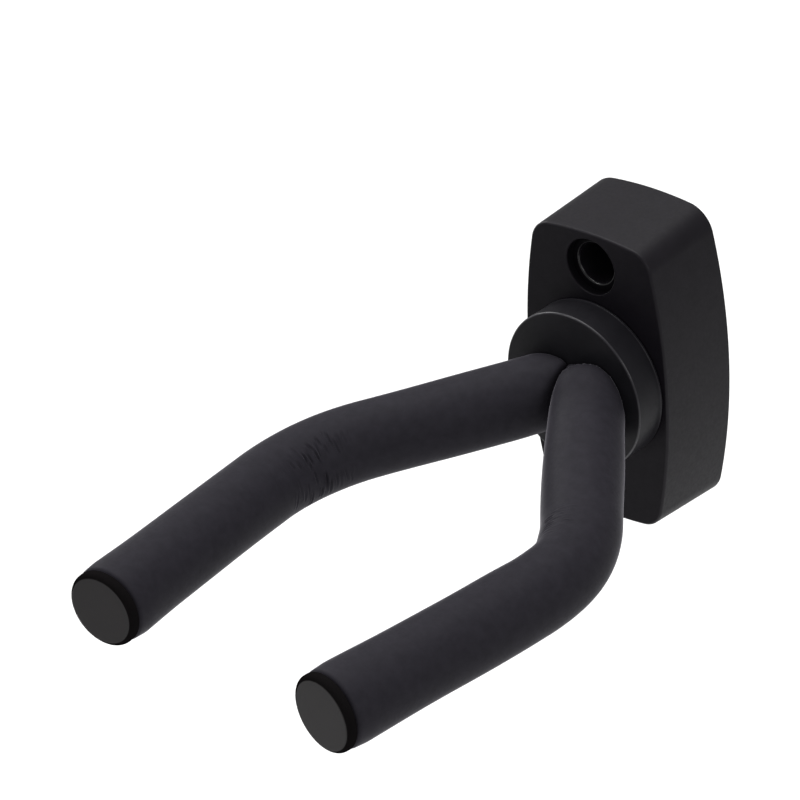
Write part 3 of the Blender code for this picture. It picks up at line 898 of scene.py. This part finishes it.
def sleeve_rings(route, theta):
    """A sleeve's rings, from the collar along the skin to the tip and back along the bore.

    Returns the points' distances along the centre line, their plain radii, how many of the
    rings are skin, and the distances at which the bore meets the collar.
    """
    rings = []
    facing = np.outer(np.cos(theta), route["inward"]) + np.outer(np.sin(theta), route["normal"])
    total, bend_start, bend_end = route["total"], route["bend_start"], route["bend_end"]

    def on_collar(radius):
        """Where each line along the tube meets the collar's plane."""
        return (SLEEVE_ROOT_Y - route["root"].y - radius * facing[:, 1]) / route["way_in"].y

    def ring(along, radius):
        """One ring, at one distance or at each line's own."""
        rings.append((np.broadcast_to(along, theta.shape), np.full(theta.shape, radius)))

    def span(low, high, count, radius):
        """Evenly spaced rings after low, up to high."""
        for step in range(1, count + 1):
            ring(low + (high - low) * step / count, radius)

    for turn in quarter_turns(8):
        radius = SLEEVE_R - SLEEVE_ROOT_EDGE_R * (1 - math.sin(turn))
        ring(on_collar(radius) + SLEEVE_ROOT_EDGE_R * (1 - math.cos(turn)), radius)
    span(rings[-1][0], SQUARE_FROM, SLANTED_RINGS, SLEEVE_R)
    low = SQUARE_FROM
    for high, pitch in (
        (bend_start - CREASED_MARGIN, STRAIGHT_PITCH),
        (bend_end + CREASED_MARGIN, CREASED_PITCH),
        (total - SLEEVE_TIP_EDGE_R, TIP_PITCH),
    ):
        span(low, high, round((high - low) / pitch), SLEEVE_R)
        low = high
    for turn in quarter_turns(6)[1:]:
        radius = SLEEVE_R - SLEEVE_TIP_EDGE_R * (1 - math.cos(turn))
        ring(total - SLEEVE_TIP_EDGE_R + SLEEVE_TIP_EDGE_R * math.sin(turn), radius)
    skin = len(rings)

    ring(total, (SLEEVE_R - SLEEVE_TIP_EDGE_R + BORE_R) / 2)
    ring(total, BORE_R)
    span(total, bend_end, 6, BORE_R)
    span(bend_end, bend_start, 24, BORE_R)
    span(bend_start, SQUARE_FROM, 4, BORE_R)
    span(SQUARE_FROM, on_collar(BORE_R), 6, BORE_R)
    root_face_r = (SLEEVE_R - SLEEVE_ROOT_EDGE_R + BORE_R) / 2
    ring(on_collar(root_face_r), root_face_r)
    along, radius = (np.array(column) for column in zip(*rings))
    return along, radius, skin, on_collar(BORE_R)


def pressed(x, side):
    """Places on a sleeve's skin, kept on its own side of the seam between the two sleeves."""
    off_seam = side * (x - SEAM_X)
    least = GAP / 2
    soft = np.sqrt((off_seam - least) ** 2 + SEAM_SOFTNESS**2)
    return SEAM_X + side * (off_seam + least + soft) / 2


def sleeve(name, side, folds):
    """A foam sleeve: its skin, both rounded ends and its bore, as one closed mesh."""
    route = prong_route(side)
    theta = np.linspace(0, FULL_TURN, SLEEVE_AROUND, endpoint=False)
    along, radius, skin, bore_start = sleeve_rings(route, theta)
    relief = foam_relief(route, along, theta, folds)
    relief *= np.clip((route["total"] - along) / TIP_FADE, 0.0, 1.0)
    relief *= np.clip((along - bore_start) / ROOT_FADE, 0.0, 1.0)
    relief[skin:] = 0.0
    point, inner = stations(route, along)
    up = np.array(route["normal"])
    outward = np.cos(theta)[:, None] * inner + np.sin(theta)[:, None] * up
    place = point + (radius + relief)[..., None] * outward
    place[:skin, :, 0] = pressed(place[:skin, :, 0], side)
    place[..., 1] = np.minimum(place[..., 1], SLEEVE_ROOT_Y)

    faces = tube_faces(len(along), SLEEVE_AROUND, closed=True)
    if side < 0:
        faces = [face[::-1] for face in faces]
    piece = add_closed(f"{name}_foam", place.reshape(-1, 3), faces)
    smooth(piece, 60)
    dress(piece, "yoke", "foam", f"{name}_sleeve")


def end_plug(name, side):
    """The cap on a sleeve's end: a flat face with a rolled edge, and a barbed stem in the bore."""
    face = -GAP - PLUG_FLANGE_THICKNESS
    back = PLUG_SET_BACK - GAP
    rolled = Vector((PLUG_FLANGE_R - PLUG_EDGE_R, face + PLUG_EDGE_R))
    rear_edge = Vector((PLUG_FLANGE_R - PLUG_REAR_EDGE_R, back - PLUG_REAR_EDGE_R))
    profile = [(0, face), (PLUG_FLANGE_R * 0.5, face)]
    profile += arc(rolled, PLUG_EDGE_R, -QUARTER_TURN, 0.0, 10)
    profile += arc(rear_edge, PLUG_REAR_EDGE_R, 0.0, QUARTER_TURN, 3)
    profile.append((PLUG_STEM_R, back))
    for barb in range(PLUG_BARBS):
        start = PLUG_BARB_STEP * (barb + 0.5)
        stem_end = start + PLUG_BARB_STEP * 0.6
        profile += [(PLUG_STEM_R, start), (PLUG_BARB_R, start + PLUG_BARB_FRONT)]
        profile.append((PLUG_STEM_R, stem_end))
    stem_end += PLUG_STEM_TAPER
    profile += [(PLUG_STEM_R - PLUG_STEM_TAPER, stem_end), (0, stem_end)]
    bm = turned(profile, 112)
    route = prong_route(side)
    turn = Vector((0, -1, 0)).rotation_difference(route["way_out"])
    bm.transform(Matrix.Translation(route["tip"]) @ turn.to_matrix().to_4x4())
    plug = add_bmesh(f"{name}_cap", bm)
    smooth_mostly_flat(plug, 40.0)
    dress(plug, "yoke", "plug_plastic", f"{name}_end_plug")


# ---------------------------------------------------------------- collar and bolt


def rod_clearance(side):
    """The room that the collar leaves for a rod."""
    route = prong_route(side)
    across, up = route["inward"], route["normal"]
    loops = []
    for reach in ROD_HOLE:
        centre = route["root"] + route["way_in"] * reach
        ways = [across * math.cos(a) + up * math.sin(a) for a in round_turns(48)]
        loops.append([centre + BORE_R * way for way in ways])
    return add_bmesh("rod_clearance", loft(loops))


def collar():
    """The collar disc, with fine rounded rims."""
    pocket_r = bolt_high.x + GAP
    collar_r = collar_high.x
    front_y, rear_y = collar_low.y, collar_high.y
    floor_y = bolt_low.y - GAP
    points = [
        (0, front_y),
        (collar_r, front_y),
        (collar_r - COLLAR_GROOVE, rear_y - GROOVE_WIDTH),
        (collar_r, rear_y - BEAD_WIDTH),
        (collar_r, rear_y),
        (pocket_r, rear_y),
        (pocket_r, floor_y),
        (0, floor_y),
    ]
    softened = {1: COLLAR_EDGE_R, 3: BEAD_FRONT_R, 4: BEAD_REAR_R}
    disc = add_bmesh("collar_moulding", turned(soft_profile(points, softened), 192))
    for side in SIDES.values():
        cut(disc, rod_clearance(side))
    smooth_mostly_flat(disc, 32.0)
    dress(disc, "yoke", "collar_plastic", "collar_disc")


def thread_radius(y, share):
    """The threaded bolt's radius at a depth and a share of a turn."""
    phase = (y / THREAD_PITCH + share) % 1.0
    ridge = min(1.0, THREAD_FLANK * abs(2 * phase - 1))
    run_in = min(1.0, (y - THREAD_START_Y) / THREAD_PITCH)
    return BOLT_R - THREAD_DEPTH * (1 - ridge) * run_in


def threaded_bolt():
    """The swivel bolt, with a real thread on its rear end."""
    head_r = bolt_high.x
    front, rear = bolt_low.y, bolt_high.y
    head_rear = collar_high.y
    rings = [
        (front, BOLT_CENTRE_R),
        (front, head_r - BOLT_EDGE),
        (front + BOLT_EDGE, head_r),
        (head_rear - BOLT_EDGE, head_r),
        (head_rear, head_r - BOLT_EDGE),
        (head_rear, BOLT_R),
        (THREAD_START_Y - SHANK_STEP, BOLT_R),
    ]
    steps = int((rear - BOLT_TIP - THREAD_START_Y) / (THREAD_PITCH / THREAD_STEPS))
    for step in range(steps + 1):
        rings.append((THREAD_START_Y + step * THREAD_PITCH / THREAD_STEPS, None))
    rings += [(rear - before, BOLT_R - thinner) for before, thinner in BOLT_TIP_RINGS]
    rings.append((rear, BOLT_CENTRE_R))
    vertices = []
    for y, plain in rings:
        for j, angle in enumerate(round_turns(BOLT_AROUND)):
            radius = thread_radius(y, j / BOLT_AROUND) if plain is None else plain
            vertices.append((radius * math.cos(angle), y, radius * math.sin(angle)))
    faces = tube_faces(len(rings), BOLT_AROUND)
    faces.append(tuple(range(BOLT_AROUND)))
    faces.append(tuple((len(rings) - 1) * BOLT_AROUND + j for j in range(BOLT_AROUND)))
    bolt = add_closed("threaded_bolt", vertices, faces)
    smooth(bolt, 35)
    dress(bolt, "yoke", "zinc_steel", "swivel_bolt")


def carried_over():
    """CAD nodes whose shape is right get better materials."""
    slots = {row["node"]: row["material_slot"] for row in frame["record"]["subparts"]}
    for name, node in frame["nodes"].items():
        if not node.hide_render:
            node.data.materials.clear()
            node.data.materials.append(MATERIALS[slots[name]])


# ---------------------------------------------------------------- studio


def floor():
    """A plain pale floor."""
    made, tree, shader = new_material("floor", (0.92, 0.92, 0.92), 0.9, specular=0.1)
    tint = remap(tree, noise(tree, 3.0, 2.0), 0.0, 1.0)
    drive(tree, shader, colour=mix_colours(tree, tint, [0.915] * 3, [0.925] * 3))
    corners = [(-1, -1), (1, -1), (1, 1), (-1, 1)]
    places = [(x * FLOOR_HALF, y * FLOOR_HALF, FLOOR_Z) for x, y in corners]
    plane = add_mesh("floor", places, [(0, 1, 2, 3)])
    plane.data.materials.append(made)


def light(name, place, target, size, power):
    """A round area light aimed at a point."""
    lamp = bpy.data.lights.new(name, "AREA")
    lamp.shape = "DISK"
    lamp.size = size
    lamp.energy = power
    holder = add_object(name, lamp)
    holder.location = place
    way = Vector(target) - Vector(place)
    holder.rotation_euler = way.to_track_quat("-Z", "Y").to_euler()


def camera():
    """The photo's viewpoint."""
    angles = (CAMERA_AZIMUTH, CAMERA_ELEVATION, CAMERA_ROLL)
    azimuth, elevation, roll = (math.radians(angle) for angle in angles)
    right = Vector((math.cos(azimuth), math.sin(azimuth), 0))
    back = Vector(
        (
            math.sin(azimuth) * math.cos(elevation),
            -math.cos(azimuth) * math.cos(elevation),
            math.sin(elevation),
        )
    )
    up = back.cross(right)
    rolled_right = right * math.cos(roll) + up * math.sin(roll)
    rolled_up = up * math.cos(roll) - right * math.sin(roll)
    lens = bpy.data.cameras.new("camera")
    lens.lens = CAMERA_LENS_MM
    lens.sensor_width = CAMERA_SENSOR_MM
    lens.clip_start = CAMERA_CLIP
    holder = add_object("camera", lens)
    turn = Matrix((rolled_right, rolled_up, back)).transposed()
    holder.matrix_world = Matrix.Translation(CAMERA_PLACE) @ turn.to_4x4()
    bpy.context.scene.camera = holder


def studio():
    """Pale floor, soft lights, a pale surround and the camera."""
    floor()
    for row in LIGHTS:
        light(*row)
    world = bpy.data.worlds.new("studio")
    world.use_nodes = True
    background = world.node_tree.nodes["Background"]
    background.inputs["Color"].default_value = (1.0, 1.0, 1.0, 1.0)
    background.inputs["Strength"].default_value = WORLD_STRENGTH
    bpy.context.scene.world = world
    bpy.context.scene.view_settings.view_transform = "Standard"
    camera()


base_moulding()
collar()
threaded_bolt()
for prong_name, prong_side in SIDES.items():
    sleeve(prong_name, prong_side, FOLDS[prong_name])
    end_plug(prong_name, prong_side)
carried_over()
studio()
